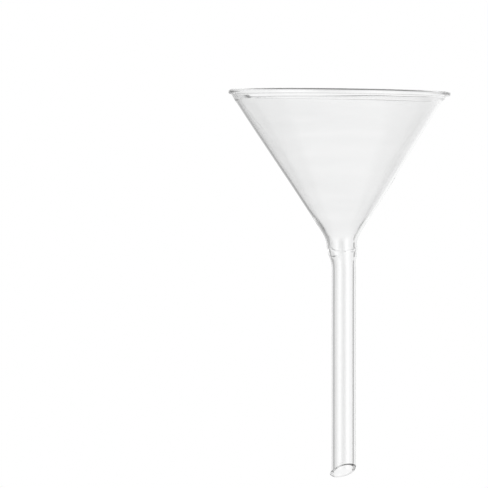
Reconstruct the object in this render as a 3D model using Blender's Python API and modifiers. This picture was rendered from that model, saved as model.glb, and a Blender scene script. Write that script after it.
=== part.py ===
"""A glass filter funnel in metres, +Z up: a bowl with a flared rim, a long stem cut at a slant,
and the flame seal that joins them.

The origin is under the middle of the rim, level with the lowest point of the tip. The funnel was
sealed by hand, so the stem stands a little to the +X side of the bowl's axis, the bowl leans a
little towards -X, and the rim isn't quite square to the bowl.
"""

from math import cos, hypot, pi, radians, sin, tan

import bmesh
import bpy
from mathutils import Matrix, Vector

# Bowl
RIM_RADIUS = 0.0450
RIM_BEAD_RADIUS = 0.00085
RIM_BEAD_HEIGHT = 0.1556
FLARE_HEIGHT = 0.0025
FLARE_WIDTH = 0.0026
BOWL_WALL = 0.00115
BOWL_HALF_ANGLE = radians(32.75)
THROAT_RADIUS = 0.0062
THROAT_WALL = 0.00145
THROAT_BEND = 0.0030
BOWL_BOTTOM = 0.0933

# Stem
STEM_RADIUS = 0.00495
STEM_WALL = 0.0013
STEM_TOP = 0.0859
TIP_FLARE = 0.00065
TIP_FLARE_HEIGHT = 0.0040

# Slanting cut through the tip: how it rises along X and Y. It reaches down to height 0.
CUT_RISE_X = 0.25
CUT_RISE_Y = -0.52

# Flame seal
SEAL_BULGE = 0.0060
SEAL_THROAT = 0.0042
JOINT_GAP = 0.0003

# How the hand-sealed pieces stand to each other
STEM_OFFSET = 0.0017
BOWL_OFFSET = 0.0007
BOWL_LEAN = radians(-1.2)
RIM_SLOPE = 0.033
RIM_SHIFT = 0.0006

ROUND_STEPS = 64
GLASS_IOR = 1.47


def arc(centre, radius, start, end, steps):
    """Points on an arc between two angles in degrees, counted from +X towards +Z."""
    turns = [radians(start + (end - start) * i / steps) for i in range(steps + 1)]
    return [(centre[0] + radius * cos(t), centre[1] + radius * sin(t)) for t in turns]


def bend(start, corner, end, steps):
    """Points on a smooth bend that leaves start and reaches end along the lines to corner."""
    points = []
    for i in range(steps + 1):
        t = i / steps
        weights = ((1 - t) ** 2, 2 * t * (1 - t), t**2)
        points.append(tuple(sum(w * p[k] for w, p in zip(weights, (start, corner, end)))
                            for k in range(2)))
    return points


def clear_scene():
    for obj in list(bpy.data.objects):
        bpy.data.objects.remove(obj, do_unlink=True)


def new_collection(name):
    collection = bpy.data.collections.new(name)
    bpy.context.scene.collection.children.link(collection)
    return collection


def glass(name, colour, roughness):
    material = bpy.data.materials.new(name)
    material.use_nodes = True
    shader = material.node_tree.nodes["Principled BSDF"]
    shader.inputs["Base Color"].default_value = (*colour, 1.0)
    shader.inputs["Roughness"].default_value = roughness
    shader.inputs["Metallic"].default_value = 0.0
    shader.inputs["IOR"].default_value = GLASS_IOR
    shader.inputs["Transmission Weight"].default_value = 1.0
    return material


def add_object(name, mesh, collection):
    obj = bpy.data.objects.new(name, mesh)
    collection.objects.link(obj)
    return obj


def turned(name, profile, collection):
    """A ring turned about Z from a closed profile that runs down its outer side and up its inner side."""
    mesh = bpy.data.meshes.new(name)
    edges = [(i, (i + 1) % len(profile)) for i in range(len(profile))]
    mesh.from_pydata([(r, 0.0, z) for r, z in profile], edges, [])
    obj = add_object(name, mesh, collection)
    screw = obj.modifiers.new("turn", "SCREW")
    screw.axis = "Z"
    screw.angle = 2 * pi
    screw.steps = ROUND_STEPS
    screw.render_steps = ROUND_STEPS
    screw.use_merge_vertices = True
    screw.merge_threshold = 1e-6
    return obj


def freeze(obj):
    """Turns the object's modifiers into plain mesh, so that its points can be moved."""
    graph = bpy.context.evaluated_depsgraph_get()
    mesh = bpy.data.meshes.new_from_object(obj.evaluated_get(graph))
    obj.modifiers.clear()
    obj.data = mesh


def finish(obj, material):
    obj.data.materials.clear()
    obj.data.materials.append(material)
    obj.data.shade_smooth()
    obj.data.set_sharp_from_angle(angle=radians(40))


def cone_radius(height):
    """The bowl's outer radius on its straight wall, at a height above the bowl's bottom."""
    flare_start = RIM_BEAD_HEIGHT - FLARE_HEIGHT - BOWL_BOTTOM
    return RIM_RADIUS - FLARE_WIDTH + (height - flare_start) * tan(BOWL_HALF_ANGLE)


def bowl_profile():
    """Heights are above the bowl's bottom. The bead's arc ends where the flare meets it."""
    slope = tan(BOWL_HALF_ANGLE)
    inset = BOWL_WALL / cos(BOWL_HALF_ANGLE)
    bead = (RIM_RADIUS - RIM_BEAD_RADIUS, RIM_BEAD_HEIGHT - BOWL_BOTTOM)
    rim = arc(bead, RIM_BEAD_RADIUS, 145, -60, 10)

    flare_z = bead[1] - FLARE_HEIGHT
    flare_foot = (cone_radius(flare_z), flare_z)
    flare_corner = (cone_radius(flare_z + 0.0009), flare_z + 0.0009)
    outer_flare = bend(rim[-1], flare_corner, flare_foot, 3)[1:]

    outer_corner_z = (THROAT_RADIUS - cone_radius(0)) / slope
    wall_foot_z = outer_corner_z + THROAT_BEND * cos(BOWL_HALF_ANGLE)
    outer_throat = bend((cone_radius(wall_foot_z), wall_foot_z),
                        (THROAT_RADIUS, outer_corner_z),
                        (THROAT_RADIUS, outer_corner_z - THROAT_BEND), 5)
    bore = THROAT_RADIUS - THROAT_WALL
    inner_corner_z = (bore + inset - cone_radius(0)) / slope
    inner_foot_z = inner_corner_z + THROAT_BEND * cos(BOWL_HALF_ANGLE)
    inner_throat = bend((bore, inner_corner_z - THROAT_BEND),
                        (bore, inner_corner_z),
                        (cone_radius(inner_foot_z) - inset, inner_foot_z), 5)

    inner_z = flare_z + 0.0006
    inner_foot = (cone_radius(inner_z) - inset, inner_z)
    inner_corner = (cone_radius(inner_z + 0.0012) - inset, inner_z + 0.0012)
    inner_flare = bend(inner_foot, inner_corner, rim[0], 3)[:-1]

    bottom = [(THROAT_RADIUS, 0.0), (bore, 0.0)]
    return rim + outer_flare + outer_throat + bottom + inner_throat + inner_flare


def make_bowl(collection, material):
    """The rim's slope grows steadily up the wall, and only the flare is shifted."""
    bowl = turned("bowl", bowl_profile(), collection)
    freeze(bowl)
    rise = RIM_BEAD_HEIGHT - BOWL_BOTTOM
    shape = bmesh.new()
    shape.from_mesh(bowl.data)
    for vert in shape.verts:
        flared = (vert.co.z - rise + FLARE_HEIGHT) / FLARE_HEIGHT
        vert.co.z -= RIM_SLOPE * vert.co.x * vert.co.z / rise
        vert.co.x += RIM_SHIFT * min(max(flared, 0.0), 1.0)
    shape.to_mesh(bowl.data)
    shape.free()
    bowl.location = (BOWL_OFFSET, 0.0, BOWL_BOTTOM)
    bowl.rotation_euler = (0.0, BOWL_LEAN, 0.0)
    finish(bowl, material)


def seal_profile():
    top = BOWL_BOTTOM - JOINT_GAP
    bottom = STEM_TOP + JOINT_GAP
    stem_bore = STEM_RADIUS - STEM_WALL
    throat_bore = THROAT_RADIUS - THROAT_WALL
    middle = (top + bottom) / 2
    quarter = (top - bottom) / 4
    outside = bend((THROAT_RADIUS, top), (SEAL_BULGE, middle + quarter), (SEAL_BULGE, middle), 4)
    outside += bend((SEAL_BULGE, middle), (STEM_RADIUS, middle - quarter), (STEM_RADIUS, bottom), 5)[1:]
    inside = bend((stem_bore, bottom), (stem_bore, middle - quarter), (SEAL_THROAT, middle), 4)
    inside += bend((SEAL_THROAT, middle), (throat_bore, middle + quarter), (throat_bore, top), 4)[1:]
    return outside + inside


def make_seal(collection, material):
    """The seal leans from the bowl's throat to the stem."""
    seal = turned("neck_seal", seal_profile(), collection)
    freeze(seal)
    height = BOWL_BOTTOM - STEM_TOP
    lean = Matrix.Identity(4)
    lean[0][2] = (BOWL_OFFSET - STEM_OFFSET) / height
    lean[0][3] = STEM_OFFSET - lean[0][2] * STEM_TOP
    seal.data.transform(lean)
    finish(seal, material)


def stem_profile():
    """The tube runs on below height 0, where the slanting cut takes it off."""
    bore = STEM_RADIUS - STEM_WALL
    flare_end = TIP_FLARE_HEIGHT / 3
    flare_corner = TIP_FLARE_HEIGHT / 2
    below = -TIP_FLARE_HEIGHT
    outside = [(STEM_RADIUS, STEM_TOP)]
    outside += bend((STEM_RADIUS, TIP_FLARE_HEIGHT), (STEM_RADIUS, flare_corner),
                    (STEM_RADIUS + TIP_FLARE, flare_end), 4)
    outside.append((STEM_RADIUS + TIP_FLARE, below))
    inside = [(bore + TIP_FLARE, below)]
    inside += bend((bore + TIP_FLARE, flare_end), (bore, flare_corner), (bore, TIP_FLARE_HEIGHT), 4)
    inside.append((bore, STEM_TOP))
    return outside + inside


def make_tip_cutter(collection):
    """A block whose top face is the slanting cut."""
    size = 0.03
    mesh = bpy.data.meshes.new("tip_cutter")
    shape = bmesh.new()
    bmesh.ops.create_cube(shape, size=size)
    bmesh.ops.translate(shape, vec=(0.0, 0.0, -size / 2), verts=shape.verts)
    shape.to_mesh(mesh)
    shape.free()
    cutter = add_object("tip_cutter", mesh, collection)
    up = Vector((-CUT_RISE_X, -CUT_RISE_Y, 1.0)).normalized()
    cutter.rotation_euler = up.to_track_quat("Z", "Y").to_euler()
    cut_height = (STEM_RADIUS + TIP_FLARE) * hypot(CUT_RISE_X, CUT_RISE_Y)
    cutter.location = (STEM_OFFSET, 0.0, cut_height)
    cutter.hide_render = True
    cutter.display_type = "WIRE"
    return cutter


def make_stem(collection, cutters, material):
    stem = turned("stem", stem_profile(), collection)
    stem.location = (STEM_OFFSET, 0.0, 0.0)
    cut = stem.modifiers.new("slanting_cut", "BOOLEAN")
    cut.operation = "DIFFERENCE"
    cut.solver = "EXACT"
    cut.object = make_tip_cutter(cutters)
    finish(stem, material)


def main():
    clear_scene()
    parts = new_collection("glass_funnel")
    cutters = new_collection("cutters")
    make_bowl(parts, glass("bowl_glass", (0.96, 0.97, 0.97), 0.02))
    make_seal(parts, glass("seal_glass", (0.94, 0.95, 0.95), 0.05))
    make_stem(parts, cutters, glass("stem_glass", (0.95, 0.96, 0.96), 0.02))


main()
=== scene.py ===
from math import cos, hypot, pi, radians, sin, tan

import bpy
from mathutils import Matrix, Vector


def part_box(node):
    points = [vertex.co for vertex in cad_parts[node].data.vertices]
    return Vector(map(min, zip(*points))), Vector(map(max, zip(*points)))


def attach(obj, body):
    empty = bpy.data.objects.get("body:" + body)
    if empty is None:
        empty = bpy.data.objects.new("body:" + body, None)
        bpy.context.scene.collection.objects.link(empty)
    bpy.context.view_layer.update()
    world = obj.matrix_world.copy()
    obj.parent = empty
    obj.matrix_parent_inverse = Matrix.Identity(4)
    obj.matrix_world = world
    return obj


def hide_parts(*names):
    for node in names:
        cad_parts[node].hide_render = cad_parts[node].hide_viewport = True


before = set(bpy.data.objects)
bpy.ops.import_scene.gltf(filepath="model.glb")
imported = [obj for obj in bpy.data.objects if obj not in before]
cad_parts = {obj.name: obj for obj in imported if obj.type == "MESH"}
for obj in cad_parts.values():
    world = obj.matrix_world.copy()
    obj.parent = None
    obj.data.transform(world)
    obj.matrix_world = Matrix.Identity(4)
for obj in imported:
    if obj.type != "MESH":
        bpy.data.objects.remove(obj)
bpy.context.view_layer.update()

# ---------------------------------------------------------------------------
# Sizes, in metres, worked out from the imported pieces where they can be

MM = 0.001

bowl_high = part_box("bowl")[1]
seal_low, seal_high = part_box("neck_seal")
stem_low, stem_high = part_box("stem")

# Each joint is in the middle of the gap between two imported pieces
JOINT_GAP = seal_low.z - stem_high.z
STEM_JOINT = stem_high.z + JOINT_GAP / 2
BOWL_JOINT = seal_high.z + JOINT_GAP / 2

STEM_RADIUS = -stem_low.y
STEM_AXIS = stem_high.x - STEM_RADIUS
STEM_WALL = 1.3 * MM

# The rim slopes, so its middle height is a little under the bowl's highest point. The bead has a
# half width and a half height, and two ends, in degrees, where it meets the inner and outer flank.
RIM_RADIUS = bowl_high.y
RIM_HEIGHT = bowl_high.z - 1.146 * MM
RIM_BEAD = (1.15 * MM, 1.0 * MM)
BEAD_HEIGHT = RIM_HEIGHT - 0.1 * MM
BEAD_ENDS = (205, -85)
RIM_FILLET = 0.5 * MM
LIP_DROP = 0.1 * MM
FLARE_HEIGHT = 2.75 * MM
FLARE_WIDTH = 2.6 * MM

BOWL_WALL = 0.9 * MM
HALF_ANGLE = radians(32.75)
THROAT_RADIUS = 6.2 * MM
THROAT_BEND = 3.0 * MM
THROAT_BORE = 4.65 * MM
BORE_BEND = (3.0 * MM, 4.1 * MM)
THICK_FROM = BOWL_JOINT + 13.85 * MM
THICK_BLEND = 2.5 * MM
THICK_SLOPE = 1.12

SEAL_BULGE = 5.55 * MM
SEAL_THROAT = 4.3 * MM
SEAL_HOLLOW = 0.25 * MM
SEAL_MIDDLE = (BOWL_JOINT + STEM_JOINT) / 2

# How the hand-sealed pieces stand to each other
BOWL_AXIS = 0.7 * MM
BOWL_LEAN = radians(-1.2)
BOWL_BOW = 0.5 * MM
BOWL_BOW_HEIGHT = BOWL_JOINT + 22.85 * MM
BOWL_BOW_WIDTH = 22 * MM
LEAN_STARTS = STEM_JOINT - 2.5 * MM
LEAN_FULL = BOWL_JOINT + 3.5 * MM
RIM_SLOPE = 0.033
RIM_SHIFT = 0.6 * MM

# The slanting cut through the tip and the small flare the flame left there
CUT_RISE = (0.25, -0.52)
CUT_LEVEL = 2.5 * MM
CUT_FADE = 22 * MM
TIP_FLARE = 0.65 * MM
TIP_FLARE_TOP = 4.0 * MM
TIP_FLARE_END = 1.3 * MM
EDGE_ROUND = 0.12 * MM

# How uneven the wall is: slightly all over, most where the flame has melted the neck. Waves in the
# glass are a little longer along the axis than round it. The ripple fades to a share of its height
# between two depths under the rim, and again from the seal down into the drawn stem.
RIPPLE = 0.01 * MM
RIPPLE_SCALE = 130.0
WAVES_ALONG = 0.7
SEAL_RIPPLE = 0.12 * MM
SEAL_DIMPLES = 0.07 * MM
DIMPLE_SCALE = 480.0
MELTED_WIDTH = 4.5 * MM
CALM_RIM_FROM = 12 * MM
CALM_RIM_TO = 4 * MM
CALM_RIM_SHARE = 0.2
CALM_STEM_FROM = STEM_JOINT - 6 * MM
CALM_STEM_SHARE = 0.12
SEED = 3.0
INNER_SEED = 7.0

# Ridges of melted glass on the inside, four in the neck and one under the rim. Each has a height,
# how far it tilts and the direction it rises to, the middle and half length of its arc, its half
# width, and how far it stands into the bore. In degrees, 0 is to the right and -90 to the front.
RIDGES = (
    (BOWL_JOINT + 0.75 * MM, 2.4 * MM, 95, -117, 50, 0.38 * MM, 0.24 * MM),
    (BOWL_JOINT - 2.05 * MM, 1.4 * MM, 20, -105, 50, 0.38 * MM, 0.19 * MM),
    (BOWL_JOINT - 0.85 * MM, 0.3 * MM, 90, -46, 20, 0.60 * MM, 0.34 * MM),
    (BOWL_JOINT - 2.55 * MM, 0.8 * MM, 200, 75, 60, 0.50 * MM, 0.20 * MM),
    (RIM_HEIGHT - FLARE_HEIGHT, 0.2 * MM, -90, -88, 50, 0.28 * MM, 0.06 * MM),
)
RIDGE_FADE = 15
RIDGE_WANDER = 0.35 * MM
WANDER_SCALE = 1.3

# How finely the pieces are cut: steps round the axis, and the pitch of the rows along the outline
SEGMENTS = 240
BOWL_SEGMENTS = 480
CONE_ROW = 2.0 * MM
THROAT_ROW = 0.2 * MM
RIM_ROW = 0.14 * MM
RIM_ROWS_FROM = RIM_HEIGHT - 4.35 * MM
STEM_ROW = 1.5 * MM
TIP_ROW = 0.35 * MM
BEAD_STEPS = 40
FOLD_STEPS = 8
THROAT_STEPS = 16
SEAL_STEPS = 24
EDGE_STEPS = 4


# ---------------------------------------------------------------------------
# Node trees

class Wires:
    """Adds nodes to a tree. Values are numbers, tuples or output sockets."""

    def __init__(self, tree):
        self.tree = tree

    def node(self, kind, **settings):
        made = self.tree.nodes.new(kind)
        for name, value in settings.items():
            setattr(made, name, value)
        return made

    def feed(self, socket, value):
        if isinstance(value, bpy.types.NodeSocket):
            self.tree.links.new(value, socket)
        elif value is not None:
            socket.default_value = value

    def maths(self, operation, *values):
        made = self.node("ShaderNodeMath", operation=operation)
        for socket, value in zip(made.inputs, values):
            self.feed(socket, value)
        return made.outputs[0]

    def add(self, *values):
        total = values[0]
        for value in values[1:]:
            total = self.maths("ADD", total, value)
        return total

    def times(self, *values):
        total = values[0]
        for value in values[1:]:
            total = self.maths("MULTIPLY", total, value)
        return total

    def less(self, a, b):
        return self.maths("SUBTRACT", a, b)

    def ramp(self, value, low, high, start=0.0, end=1.0):
        """Smooth change from start to end as value goes from low to high."""
        made = self.node("ShaderNodeMapRange", interpolation_type="SMOOTHSTEP")
        for name, given in zip(("Value", "From Min", "From Max", "To Min", "To Max"),
                               (value, low, high, start, end)):
            self.feed(made.inputs[name], given)
        return made.outputs["Result"]

    def bell(self, value, middle, width):
        """1 where value is middle, falling to 0 within about two widths."""
        away = self.maths("DIVIDE", self.less(value, middle), width)
        return self.maths("EXPONENT", self.times(away, away, -1.0))

    def between(self, value, low, high):
        """value, held between low and high."""
        return self.maths("MINIMUM", self.maths("MAXIMUM", value, low), high)

    def vector(self, x, y, z):
        made = self.node("ShaderNodeCombineXYZ")
        for socket, value in zip(made.inputs, (x, y, z)):
            self.feed(socket, value)
        return made.outputs[0]

    def parts(self, vector):
        made = self.node("ShaderNodeSeparateXYZ")
        self.feed(made.inputs[0], vector)
        return made.outputs

    def noise(self, vector, scale, detail, seed):
        """Smooth noise between about -1 and 1."""
        made = self.node("ShaderNodeTexNoise", noise_dimensions="4D")
        self.feed(made.inputs["Vector"], vector)
        self.feed(made.inputs["Scale"], scale)
        self.feed(made.inputs["Detail"], detail)
        self.feed(made.inputs["W"], seed)
        return self.less(self.times(made.outputs[0], 2.0), 1.0)


# ---------------------------------------------------------------------------
# Profiles: closed outlines in (radius, height), down the outer side and up the inner side

def arc(centre, radii, start, end, steps):
    """Points on a round or oval arc between two angles in degrees."""
    turns = [radians(start + (end - start) * i / steps) for i in range(steps + 1)]
    return [(centre[0] + radii[0] * cos(t), centre[1] + radii[1] * sin(t)) for t in turns]


def bend(start, corner, end, steps):
    """Points on a smooth bend that leaves start and reaches end along the lines to corner."""
    points = []
    for i in range(steps + 1):
        t = i / steps
        weights = ((1 - t) ** 2, 2 * t * (1 - t), t**2)
        points.append(tuple(sum(w * p[k] for w, p in zip(weights, (start, corner, end)))
                            for k in range(2)))
    return points


def straight(start, end, pitch):
    """Points from start to end about a pitch apart, without start itself."""
    steps = max(1, round(hypot(end[0] - start[0], end[1] - start[1]) / pitch))
    return [tuple(start[k] + (end[k] - start[k]) * i / steps for k in range(2))
            for i in range(1, steps + 1)]


def on_cone(height):
    """The point of the cone's outer flank at a height."""
    above_flare = height - (RIM_HEIGHT - FLARE_HEIGHT)
    return (RIM_RADIUS - FLARE_WIDTH + above_flare * tan(HALF_ANGLE), height)


def in_cone(height):
    """The point of the cone's inner flank at a height."""
    return (on_cone(height)[0] - BOWL_WALL / cos(HALF_ANGLE), height)


def bowl_outer(rim):
    """From the bead's lower end down the cone and the throat."""
    under = on_cone(BEAD_HEIGHT - RIM_BEAD[1])
    neck = on_cone(under[1] - RIM_FILLET)
    fold = bend(rim[-1], under, neck, FOLD_STEPS)[1:]

    cone_height = (RIM_RADIUS - FLARE_WIDTH - THROAT_RADIUS) / tan(HALF_ANGLE)
    corner = (THROAT_RADIUS, RIM_HEIGHT - FLARE_HEIGHT - cone_height)
    throat = bend(on_cone(corner[1] + THROAT_BEND * cos(HALF_ANGLE)), corner,
                  (THROAT_RADIUS, corner[1] - THROAT_BEND), THROAT_STEPS)
    cone = straight(neck, throat[0], CONE_ROW)[:-1]
    return fold + cone + throat + straight(throat[-1], (THROAT_RADIUS, BOWL_JOINT), THROAT_ROW)


def bowl_inner(rim):
    """From the joint up the bore and the cone, whose wall is thicker towards the throat."""
    slope = tan(HALF_ANGLE) * THICK_SLOPE
    thick = in_cone(THICK_FROM)
    level = THICK_FROM - (thick[0] - THROAT_BORE) / slope
    above = (THROAT_BORE + BORE_BEND[1] * slope, level + BORE_BEND[1])
    inner = [(THROAT_BORE, BOWL_JOINT)]
    inner += straight(inner[0], (THROAT_BORE, level - BORE_BEND[0]), THROAT_ROW)
    inner += bend(inner[-1], (THROAT_BORE, level), above, THROAT_STEPS)[1:]
    low = (thick[0] - THICK_BLEND * slope, THICK_FROM - THICK_BLEND)
    inner += straight(inner[-1], low, CONE_ROW)[:-1]
    inner += bend(low, thick, in_cone(THICK_FROM + THICK_BLEND), FOLD_STEPS)

    lip = in_cone(rim[0][1] - LIP_DROP)
    foot = in_cone(lip[1] - RIM_FILLET)
    inner += straight(inner[-1], in_cone(RIM_ROWS_FROM), CONE_ROW)
    inner += straight(inner[-1], foot, RIM_ROW)[:-1]
    return inner + bend(foot, lip, rim[0], FOLD_STEPS)[:-1]


def bowl_profile():
    """The rim is a bead on the end of the cone's wall."""
    rim = arc((RIM_RADIUS - RIM_BEAD[0], BEAD_HEIGHT), RIM_BEAD, *BEAD_ENDS, BEAD_STEPS)
    return rim + bowl_outer(rim), bowl_inner(rim)


def seal_profile():
    """Outside, the melted ring bulges between throat and stem. Inside, it narrows the bore."""
    bore = STEM_RADIUS - STEM_WALL
    quarter = (BOWL_JOINT - STEM_JOINT) / 4
    above, below = SEAL_MIDDLE + quarter, SEAL_MIDDLE - quarter
    bulge, throat = (SEAL_BULGE, SEAL_MIDDLE), (SEAL_THROAT, SEAL_MIDDLE)
    outer = bend((THROAT_RADIUS, BOWL_JOINT), (THROAT_RADIUS - SEAL_HOLLOW, above), bulge,
                 SEAL_STEPS)
    outer += bend(bulge, (STEM_RADIUS, below), (STEM_RADIUS, STEM_JOINT), SEAL_STEPS)[1:]
    inner = bend((bore, STEM_JOINT), (bore, below), throat, SEAL_STEPS)
    inner += bend(throat, (THROAT_BORE, above), (THROAT_BORE, BOWL_JOINT), SEAL_STEPS)[1:]
    return outer, inner


def stem_profile():
    """A plain tube, with finer rows where the tip is shaped and a hair's rounding on its edges."""
    bore = STEM_RADIUS - STEM_WALL
    edge = (EDGE_ROUND, EDGE_ROUND)
    outer = [(STEM_RADIUS, STEM_JOINT)]
    outer += straight(outer[-1], (STEM_RADIUS, CUT_FADE), STEM_ROW)
    outer += straight(outer[-1], (STEM_RADIUS, EDGE_ROUND), TIP_ROW)
    outer += arc((STEM_RADIUS - EDGE_ROUND, EDGE_ROUND), edge, 0, -90, EDGE_STEPS)[1:]
    inner = arc((bore + EDGE_ROUND, EDGE_ROUND), edge, 270, 180, EDGE_STEPS)
    inner += straight(inner[-1], (bore, CUT_FADE), TIP_ROW)
    inner += straight(inner[-1], (bore, STEM_JOINT), STEM_ROW)
    return outer, inner


# ---------------------------------------------------------------------------
# The geometry tree that turns a profile into hand-worked glass

TREE_INPUTS = (
    ("Segments", "NodeSocketInt", SEGMENTS),
    ("Stem Axis", "NodeSocketFloat", STEM_AXIS),
    ("Bowl Axis", "NodeSocketFloat", BOWL_AXIS),
    ("Bowl Lean", "NodeSocketFloat", BOWL_LEAN),
    ("Bowl Bow", "NodeSocketFloat", BOWL_BOW),
    ("Rim Slope", "NodeSocketFloat", RIM_SLOPE),
    ("Rim Shift", "NodeSocketFloat", RIM_SHIFT),
    ("Cut Rise X", "NodeSocketFloat", CUT_RISE[0]),
    ("Cut Rise Y", "NodeSocketFloat", CUT_RISE[1]),
    ("Tip Flare", "NodeSocketFloat", TIP_FLARE),
    ("Ripple", "NodeSocketFloat", RIPPLE),
    ("Seal Ripple", "NodeSocketFloat", SEAL_RIPPLE),
    ("Seal Dimples", "NodeSocketFloat", SEAL_DIMPLES),
    ("Seed", "NodeSocketFloat", SEED),
    ("Glass", "NodeSocketMaterial", None),
    ("Joint", "NodeSocketMaterial", None),
    ("Ground", "NodeSocketMaterial", None),
)


WELD = 0.001 * MM
NEARLY_ONE = 0.99


class Outline:
    """The profile mesh that the tree is given, spread over a grid with one column for each turn
    step and one row for each profile point."""

    def __init__(self, w, profile, segments):
        self.w = w
        self.profile = profile
        size = w.node("GeometryNodeAttributeDomainSize", component="MESH")
        w.feed(size.inputs["Geometry"], profile)
        count = size.outputs["Point Count"]
        rows = w.add(count, 1)
        grid = w.node("GeometryNodeMeshGrid")
        w.feed(grid.inputs["Vertices X"], w.add(segments, 1))
        w.feed(grid.inputs["Vertices Y"], rows)
        self.grid = grid.outputs["Mesh"]
        index = w.node("GeometryNodeInputIndex").outputs[0]
        column = w.maths("FLOOR", w.maths("DIVIDE", w.add(index, 0.5), rows))
        self.row = w.maths("MODULO", w.less(index, w.times(column, rows)), count)
        self.turn = w.times(w.maths("DIVIDE", column, segments), 2 * pi)
        self.cosine = w.maths("COSINE", self.turn)
        self.sine = w.maths("SINE", self.turn)
        position = self.sampled(w.node("GeometryNodeInputPosition").outputs[0], "FLOAT_VECTOR")
        place = w.parts(position)
        self.radius, self.height = place["X"], place["Z"]
        self.inner = self.mark("inner")

    def sampled(self, value, kind):
        made = self.w.node("GeometryNodeSampleIndex", data_type=kind, domain="POINT")
        self.w.feed(made.inputs["Geometry"], self.profile)
        self.w.feed(made.inputs["Value"], value)
        self.w.feed(made.inputs["Index"], self.row)
        return made.outputs[0]

    def mark(self, name):
        made = self.w.node("GeometryNodeInputNamedAttribute", data_type="FLOAT")
        self.w.feed(made.inputs["Name"], name)
        return self.sampled(made.outputs["Attribute"], "FLOAT")


def ridges_inside(w, outline):
    """How far the wall stands out, below zero where a ridge stands into the bore."""
    total = 0.0
    for level, tilt, toward, middle, half, width, depth in RIDGES:
        own = level / MM
        wander = w.noise(w.vector(outline.cosine, outline.sine, own), WANDER_SCALE, 2.0, own)
        rising = w.maths("COSINE", w.less(outline.turn, radians(toward)))
        ring = w.add(level, w.times(rising, tilt), w.times(wander, RIDGE_WANDER))
        facing = w.maths("COSINE", w.less(outline.turn, radians(middle)))
        length = w.ramp(facing, cos(radians(half + RIDGE_FADE)), cos(radians(half - RIDGE_FADE)))
        ridge = w.times(w.bell(outline.height, ring, width), outline.inner, length, -depth)
        total = w.add(total, ridge)
    return total


def uneven_radius(w, given, outline):
    """The outline's radius with the ripples, dimples and ridges of melted glass."""
    height = outline.height
    melted = w.bell(height, SEAL_MIDDLE, MELTED_WIDTH)
    calm_rim = w.ramp(height, RIM_HEIGHT - CALM_RIM_FROM, RIM_HEIGHT - CALM_RIM_TO,
                      1.0, CALM_RIM_SHARE)
    spread = w.add(w.times(calm_rim, given["Ripple"]), w.times(melted, given["Seal Ripple"]))
    seed = w.add(given["Seed"], w.times(outline.inner, INNER_SEED))
    around = w.vector(w.times(outline.cosine, outline.radius),
                      w.times(outline.sine, outline.radius), w.times(height, WAVES_ALONG))
    calm_stem = w.ramp(height, CALM_STEM_FROM, BOWL_JOINT, CALM_STEM_SHARE, 1.0)
    ripple = w.times(w.noise(around, RIPPLE_SCALE, 1.0, seed), spread, calm_stem)
    dimples = w.times(w.noise(around, DIMPLE_SCALE, 1.0, seed), melted, given["Seal Dimples"])
    return w.add(outline.radius, ripple, dimples, ridges_inside(w, outline))


def slanting_tip(w, given, outline, radius):
    """The radius and height of each point with the slanting end and its small flare."""
    rise_x, rise_y = given["Cut Rise X"], given["Cut Rise Y"]
    rise = w.add(w.times(outline.cosine, rise_x), w.times(outline.sine, rise_y))
    steepest = w.maths("SQRT", w.add(w.times(rise_x, rise_x), w.times(rise_y, rise_y)))
    lowest = w.times(w.add(STEM_RADIUS, given["Tip Flare"]), steepest)
    near_tip = w.ramp(outline.height, CUT_LEVEL, CUT_FADE, 1.0, 0.0)

    def slanted(distance):
        return w.add(outline.height, w.times(near_tip, w.add(lowest, w.times(distance, rise))))

    opening = w.ramp(slanted(radius), TIP_FLARE_END, TIP_FLARE_TOP, 1.0, 0.0)
    flared = w.add(radius, w.times(opening, given["Tip Flare"]))
    return flared, slanted(flared)


def leaning_place(w, given, outline, radius, level):
    """Where each point goes: the bowl leans from the seal up, and its rim isn't square to it."""
    height = outline.height
    x, y = w.times(radius, outline.cosine), w.times(radius, outline.sine)
    above_seal = w.ramp(height, LEAN_STARTS, LEAN_FULL)
    wall_height = w.maths("MAXIMUM", w.less(height, BOWL_JOINT), 0.0)
    up_wall = w.maths("DIVIDE", wall_height, RIM_HEIGHT - BOWL_JOINT)
    above_flare = w.less(height, RIM_HEIGHT - FLARE_HEIGHT)
    in_flare = w.between(w.maths("DIVIDE", above_flare, FLARE_HEIGHT), 0.0, 1.0)
    lean = w.maths("SINE", given["Bowl Lean"])
    centre = w.add(given["Stem Axis"],
                   w.times(w.less(given["Bowl Axis"], given["Stem Axis"]), above_seal),
                   w.times(wall_height, lean),
                   w.times(w.bell(height, BOWL_BOW_HEIGHT, BOWL_BOW_WIDTH), given["Bowl Bow"]),
                   w.times(in_flare, given["Rim Shift"]))
    tilt = w.times(x, w.add(w.times(lean, above_seal), w.times(up_wall, given["Rim Slope"])))
    return w.vector(w.add(centre, x), y, w.less(level, tilt))


def closed_smooth(w, geometry):
    """The grid's seams welded, its faces smooth and turned outwards."""
    merged = w.node("GeometryNodeMergeByDistance")
    w.feed(merged.inputs["Geometry"], geometry)
    w.feed(merged.inputs["Distance"], WELD)
    smooth = w.node("GeometryNodeSetShadeSmooth")
    w.feed(smooth.inputs["Geometry"], merged.outputs["Geometry"])
    outward = w.node("GeometryNodeFlipFaces")
    w.feed(outward.inputs[0], smooth.outputs["Geometry"])
    real = w.node("GeometryNodeRealizeInstances")
    w.feed(real.inputs["Geometry"], outward.outputs[0])
    return real.outputs["Geometry"]


def painted(w, geometry, material, selection=None):
    made = w.node("GeometryNodeSetMaterial")
    w.feed(made.inputs["Geometry"], geometry)
    w.feed(made.inputs["Selection"], selection)
    w.feed(made.inputs["Material"], material)
    return made.outputs["Geometry"]


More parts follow.
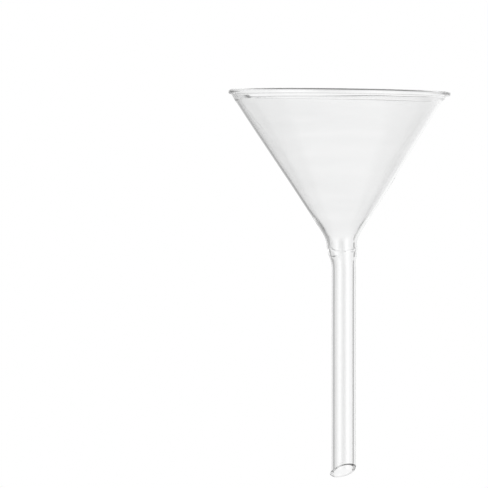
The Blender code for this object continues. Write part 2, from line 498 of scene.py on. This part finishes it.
def turned_glass_tree():
    tree = bpy.data.node_groups.new("Hand-turned glass", "GeometryNodeTree")
    tree.interface.new_socket("Geometry", in_out="INPUT", socket_type="NodeSocketGeometry")
    for name, kind, value in TREE_INPUTS:
        socket = tree.interface.new_socket(name, in_out="INPUT", socket_type=kind)
        if value is not None:
            socket.default_value = value
    tree.interface.new_socket("Geometry", in_out="OUTPUT", socket_type="NodeSocketGeometry")
    w = Wires(tree)
    given = w.node("NodeGroupInput").outputs
    outline = Outline(w, given["Geometry"], given["Segments"])
    radius, level = slanting_tip(w, given, outline, uneven_radius(w, given, outline))
    shaped = w.node("GeometryNodeSetPosition")
    w.feed(shaped.inputs["Geometry"], outline.grid)
    w.feed(shaped.inputs["Position"], leaning_place(w, given, outline, radius, level))

    # Faces whose corners are all marked get the joint's or the ground end's material
    geometry = shaped.outputs["Geometry"]
    for name in ("joint", "ground"):
        stored = w.node("GeometryNodeStoreNamedAttribute", data_type="FLOAT", domain="POINT")
        w.feed(stored.inputs["Geometry"], geometry)
        w.feed(stored.inputs["Name"], name)
        w.feed(stored.inputs["Value"], outline.mark(name))
        geometry = stored.outputs["Geometry"]
    geometry = painted(w, closed_smooth(w, geometry), given["Glass"])
    for name, slot in (("joint", "Joint"), ("ground", "Ground")):
        mark = w.node("GeometryNodeInputNamedAttribute", data_type="FLOAT")
        w.feed(mark.inputs["Name"], name)
        on_faces = w.node("GeometryNodeFieldOnDomain", data_type="FLOAT", domain="FACE")
        w.feed(on_faces.inputs[0], mark.outputs["Attribute"])
        all_marked = w.maths("GREATER_THAN", on_faces.outputs[0], NEARLY_ONE)
        geometry = painted(w, geometry, given[slot], all_marked)
    out = w.node("NodeGroupOutput")
    w.feed(out.inputs[0], geometry)
    return tree


SAME_HEIGHT = 1e-9
SHARP_ANGLE = radians(50)


def drop_unused_slots(mesh):
    numbers = [face.material_index for face in mesh.polygons]
    used = sorted(set(numbers))
    kept = [mesh.materials[number] for number in used]
    mesh.materials.clear()
    for material in kept:
        mesh.materials.append(material)
    mesh.polygons.foreach_set("material_index", [used.index(number) for number in numbers])


def outline_mesh(name, profile, joints, ground):
    """The profile as a closed loop of edges, marked where it is inside, fused or ground."""
    outer, inner = profile
    points = outer + inner
    mesh = bpy.data.meshes.new(name)
    edges = [(i, (i + 1) % len(points)) for i in range(len(points))]
    mesh.from_pydata([(radius, 0.0, height) for radius, height in points], edges, [])

    def at(levels):
        return [float(any(abs(height - level) < SAME_HEIGHT for level in levels))
                for _, height in points]

    marks = {
        "inner": [0.0] * len(outer) + [1.0] * len(inner),
        "joint": at(joints),
        "ground": at(ground),
    }
    for mark, values in marks.items():
        mesh.attributes.new(mark, "FLOAT", "POINT").data.foreach_set("value", values)
    return mesh


def turned_glass(name, profile, tree, segments, materials, joints, ground):
    """A closed glass piece. joints and ground are the heights of its fused and its cut ends."""
    piece = bpy.data.objects.new(name, outline_mesh(name, profile, joints, ground))
    bpy.context.scene.collection.objects.link(piece)
    modifier = piece.modifiers.new("turned", "NODES")
    modifier.node_group = tree
    sockets = {item.name: item.identifier for item in tree.interface.items_tree
               if item.in_out == "INPUT"}
    modifier[sockets["Segments"]] = segments
    for socket, material in zip(("Glass", "Joint", "Ground"), materials):
        modifier[sockets[socket]] = material
    graph = bpy.context.evaluated_depsgraph_get()
    made = bpy.data.meshes.new_from_object(piece.evaluated_get(graph))
    made.name = name
    piece.modifiers.clear()
    piece.data = made
    drop_unused_slots(made)
    made.set_sharp_from_angle(angle=SHARP_ANGLE)
    return piece


# ---------------------------------------------------------------------------
# Materials

GLASS_IOR = 1.47
BOWL_TINT = (0.934, 0.936, 0.936)
TUBE_TINT = (0.95, 0.952, 0.952)
BOWL_STRIAE = (25, 25, 160)
SEAL_STRIAE = (120, 120, 160)
STEM_STRIAE = (300, 300, 12)
GLASS_HAZE = 0.02
CLOUD_SCALE = 60.0
STRIAE_BUMP = (0.15, 0.02 * MM)

# The ground end lets less light through than the clear glass. Its colour also carries painted shade,
# darkest at the top of the slant:
# the two heights between which the painted shade darkens it, and its brightness under and over them
GROUND_IOR = 1.4
GROUND_CLEARNESS = 0.6
GROUND_PAINTED_SHADE = (4.6 * MM, 5.5 * MM, 1.0, 0.12)
GRAIN_SCALE = 9000.0
GRAIN_ROUGHNESS = (0.10, 0.14)
GRAIN_BUMP = (0.3, 0.01 * MM)


def glass_shader(name, ior, clearness):
    """A new material with its node helper, its shader and its Object coordinates."""
    material = bpy.data.materials.new(name)
    material.use_nodes = True
    shader = material.node_tree.nodes["Principled BSDF"]
    shader.inputs["IOR"].default_value = ior
    shader.inputs["Transmission Weight"].default_value = clearness
    shader.inputs["Metallic"].default_value = 0.0
    w = Wires(material.node_tree)
    return material, w, shader, w.node("ShaderNodeTexCoord").outputs["Object"]


def feed_bump(w, shader, height, strength, distance):
    bump = w.node("ShaderNodeBump")
    bump.inputs["Strength"].default_value = strength
    bump.inputs["Distance"].default_value = distance
    w.feed(bump.inputs["Height"], height)
    w.feed(shader.inputs["Normal"], bump.outputs[0])


def clear_glass(name, tint, stretch, seed):
    """Clear glass with faint striae. stretch is how many run across a metre of X, Y and Z."""
    material, w, shader, place = glass_shader(name, GLASS_IOR, 1.0)
    mapping = w.node("ShaderNodeMapping")
    w.feed(mapping.inputs["Vector"], place)
    mapping.inputs["Scale"].default_value = stretch
    striae = w.noise(mapping.outputs[0], 1.0, 3.0, seed)
    clouds = w.noise(place, CLOUD_SCALE, 2.0, seed + 4)
    mix = w.node("ShaderNodeMix", data_type="RGBA")
    w.feed(mix.inputs["Factor"], w.ramp(striae, -0.5, 0.5))
    mix.inputs["A"].default_value = (*tint, 1.0)
    mix.inputs["B"].default_value = (*[v ** 0.5 for v in tint], 1.0)
    w.feed(shader.inputs["Base Color"], mix.outputs["Result"])
    w.feed(shader.inputs["Roughness"], w.ramp(clouds, 0.2, 0.9, 0.0, GLASS_HAZE))
    feed_bump(w, shader, striae, *STRIAE_BUMP)
    return material


def fused_joint():
    """Where two pieces are melted into one, light goes straight on."""
    material = bpy.data.materials.new("fused_joint")
    material.use_nodes = True
    material.node_tree.nodes.clear()
    w = Wires(material.node_tree)
    clear = w.node("ShaderNodeBsdfTransparent")
    out = w.node("ShaderNodeOutputMaterial")
    w.feed(out.inputs["Surface"], clear.outputs[0])
    return material


def ground_glass():
    """The cut end, ground flat and a little frosted, with painted shade that darkens it towards the
    top of the slant.
    """
    material, w, shader, place = glass_shader("ground_glass", GROUND_IOR, GROUND_CLEARNESS)
    # Painted shade: the base colour goes from white to dark grey towards the top of the slanting cut
    depth = w.ramp(w.parts(place)["Z"], *GROUND_PAINTED_SHADE)
    w.feed(shader.inputs["Base Color"], w.vector(depth, depth, depth))
    grain = w.noise(place, GRAIN_SCALE, 3.0, 1.0)
    w.feed(shader.inputs["Roughness"], w.ramp(grain, -0.6, 0.6, *GRAIN_ROUGHNESS))
    feed_bump(w, shader, grain, *GRAIN_BUMP)
    return material


# ---------------------------------------------------------------------------
# Build

tree = turned_glass_tree()
joint = fused_joint()
ground = ground_glass()
bowl_clear = clear_glass("bowl_clear_glass", BOWL_TINT, BOWL_STRIAE, 1.0)
seal_clear = clear_glass("seal_clear_glass", TUBE_TINT, SEAL_STRIAE, 2.0)
stem_clear = clear_glass("stem_clear_glass", TUBE_TINT, STEM_STRIAE, 3.0)

PIECES = (
    ("bowl", "bowl_glass", bowl_profile(), BOWL_SEGMENTS, bowl_clear, (BOWL_JOINT,), ()),
    ("neck_seal", "seal_glass", seal_profile(), SEGMENTS, seal_clear, (BOWL_JOINT, STEM_JOINT), ()),
    ("stem", "stem_glass", stem_profile(), SEGMENTS, stem_clear, (STEM_JOINT,), (0.0,)),
)
for node, slot, profile, segments, glass, joints, cut in PIECES:
    piece = turned_glass(node + "_glass", profile, tree, segments, (glass, joint, ground), joints, cut)
    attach(piece, "root")
    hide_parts(node)


# ---------------------------------------------------------------------------
# Studio

# What stands round the glass, as the glass mirrors it: how much brighter or darker than the walls
# a patch is, the direction of its middle and its half width in degrees (0 is away from the camera
# and 90 to the right), and its lowest and highest edge in degrees
WALLS = 0.85
PATCHES = (
    ("soft box on the left", 0.95, -129, 18, -35, 35),
    ("soft box on the right", 0.85, 134, 18, -35, 35),
    ("gap behind the camera", -0.75, -173, 15, -35, 35),
    ("dark flag on the left", -0.39, -42, 17, -32, 25),
    ("dark table edge on the left", -0.42, -17, 9, -60, -5),
    ("dark flag on the right", -0.50, 53, 11, -8, 24),
    ("dark table edge on the right", -0.30, 53, 8, -34, -20),
    ("white sweep behind", 0.15, 12, 18, -35, 35),
    ("dark ceiling behind", -0.25, 0, 95, 28, 62),
    ("dark floor behind", -0.20, 0, 95, -62, -28),
)
SOFT_SIDE = 7
SOFT_EDGE = 4

# The room behind, as seen through the glass, again in degrees: a grey strip's middle, width and
# change, a dark card's middle, reach and change, and how much greyer the ceiling is
STRIP = (-24.0, 12.0, -0.25)
CARD = (12.0, (36.0, 48.0), -0.9)
CARD_FOOT = (-60.0, -50.0)
CARD_TOP = (-20.0, -9.0)
CEILING = (26.0, 44.0, 0.0, -0.2)

# The floor's glow goes from its middle value to white over a distance
FLOOR_DEPTH = 0.15
FLOOR_RADIUS = 1.5
FLOOR_GLOW = (0.0, 0.9, 0.86, 1.0)
FLOOR_SEEN_FROM = 0.1
BOUNCES = 64


def mirrored_room(w, around, up):
    """How bright the room is in a direction for light that the glass has mirrored."""
    level = WALLS
    for _, change, middle, half, low, high in PATCHES:
        away = w.maths("ABSOLUTE", w.maths("WRAP", w.less(around, middle), 180.0, -180.0))
        beside = w.ramp(away, half - SOFT_SIDE, half + SOFT_SIDE, 1.0, 0.0)
        above = w.ramp(up, low - SOFT_EDGE, low + SOFT_EDGE)
        below = w.ramp(up, high - SOFT_EDGE, high + SOFT_EDGE, 1.0, 0.0)
        level = w.add(level, w.times(beside, above, below, change))
    return level


def room_behind(w, around, up):
    """How bright the room is for light that comes straight through the glass: white, with a grey
    strip on the left, a dark card low down behind, and a greyer ceiling."""
    strip_middle, strip_width, strip_change = STRIP
    strip = w.times(w.bell(around, strip_middle, strip_width), strip_change)
    card_middle, card_reach, card_change = CARD
    beside = w.ramp(w.maths("ABSOLUTE", w.less(around, card_middle)), *card_reach, 1.0, 0.0)
    card = w.times(beside, w.ramp(up, *CARD_FOOT), w.ramp(up, *CARD_TOP, 1.0, 0.0), card_change)
    return w.add(1.0, strip, card, w.ramp(up, *CEILING))


def directions(w, vector):
    """Degrees round from straight ahead, and degrees up, of a vector."""
    along = w.node("ShaderNodeVectorMath", operation="NORMALIZE")
    w.feed(along.inputs[0], vector)
    x, y, z = w.parts(along.outputs[0])
    return w.times(w.maths("ARCTAN2", x, y), 180 / pi), w.times(w.maths("ARCSINE", z), 180 / pi)


def chosen(w, share, if_one, if_zero):
    return w.add(w.times(share, if_one), w.times(w.less(1.0, share), if_zero))


def studio_light(w, vector):
    """Plain white for the camera. Light that the glass has mirrored meets the soft boxes and dark
    flags, and light that comes straight through it meets the room behind."""
    around, up = directions(w, vector)
    path = w.node("ShaderNodeLightPath").outputs
    mirrored = w.maths("GREATER_THAN", path["Glossy Depth"], 0.5)
    room = chosen(w, mirrored, mirrored_room(w, around, up), room_behind(w, around, up))
    return chosen(w, path["Is Camera Ray"], 1.0, room)


def make_world():
    world = bpy.data.worlds.new("studio")
    bpy.context.scene.world = world
    world.use_nodes = True
    w = Wires(world.node_tree)
    light = studio_light(w, w.node("ShaderNodeTexCoord").outputs["Generated"])
    back = world.node_tree.nodes["Background"]
    w.feed(back.inputs["Color"], w.vector(light, light, light))


def make_floor():
    """A pale table well under the funnel that is not lit but glows, as painted light, so no shadow
    falls on it: its glow is whitest away from its middle, and for light that the glass mirrors or lets
    through it glows with the same patches as the studio light.
    """
    bpy.ops.mesh.primitive_circle_add(vertices=96, radius=FLOOR_RADIUS, fill_type="NGON",
                                      location=(0.0, 0.0, -FLOOR_DEPTH))
    floor = bpy.context.object
    floor.name = "floor"
    material = bpy.data.materials.new("glowing_floor")
    material.use_nodes = True
    material.node_tree.nodes.clear()
    w = Wires(material.node_tree)
    place = w.node("ShaderNodeTexCoord").outputs["Object"]
    far = w.node("ShaderNodeVectorMath", operation="LENGTH")
    w.feed(far.inputs[0], place)
    pale = w.ramp(far.outputs["Value"], *FLOOR_GLOW)
    from_glass = w.node("ShaderNodeVectorMath", operation="ADD")
    w.feed(from_glass.inputs[0], place)
    from_glass.inputs[1].default_value = (0.0, 0.0, -FLOOR_DEPTH - FLOOR_SEEN_FROM)
    # Painted light: the floor glows instead of being lit, so it shows no shadow of the funnel
    glow = w.node("ShaderNodeEmission")
    w.feed(glow.inputs["Strength"], w.times(pale, studio_light(w, from_glass.outputs[0])))
    out = w.node("ShaderNodeOutputMaterial")
    w.feed(out.inputs["Surface"], glow.outputs[0])
    floor.data.materials.append(material)


def make_camera():
    """A long lens in front of the funnel, aimed a little to its left and at mid-height."""
    view_width = 0.1975
    distance = 2.5
    aim = Vector((-0.03865, 0.0, 0.0947))
    rise = 0.008
    data = bpy.data.cameras.new("camera")
    data.sensor_width = 36.0
    data.lens = data.sensor_width * hypot(distance, rise) / view_width
    data.clip_end = 20.0
    camera = bpy.data.objects.new("camera", data)
    bpy.context.scene.collection.objects.link(camera)
    camera.location = aim + Vector((0.0, -distance, rise))
    camera.rotation_euler = (aim - camera.location).to_track_quat("-Z", "Y").to_euler()
    bpy.context.scene.camera = camera


make_world()
make_floor()
make_camera()

scene = bpy.context.scene
scene.view_settings.view_transform = "Standard"
scene.cycles.max_bounces = BOUNCES
scene.cycles.transmission_bounces = BOUNCES
scene.cycles.glossy_bounces = BOUNCES
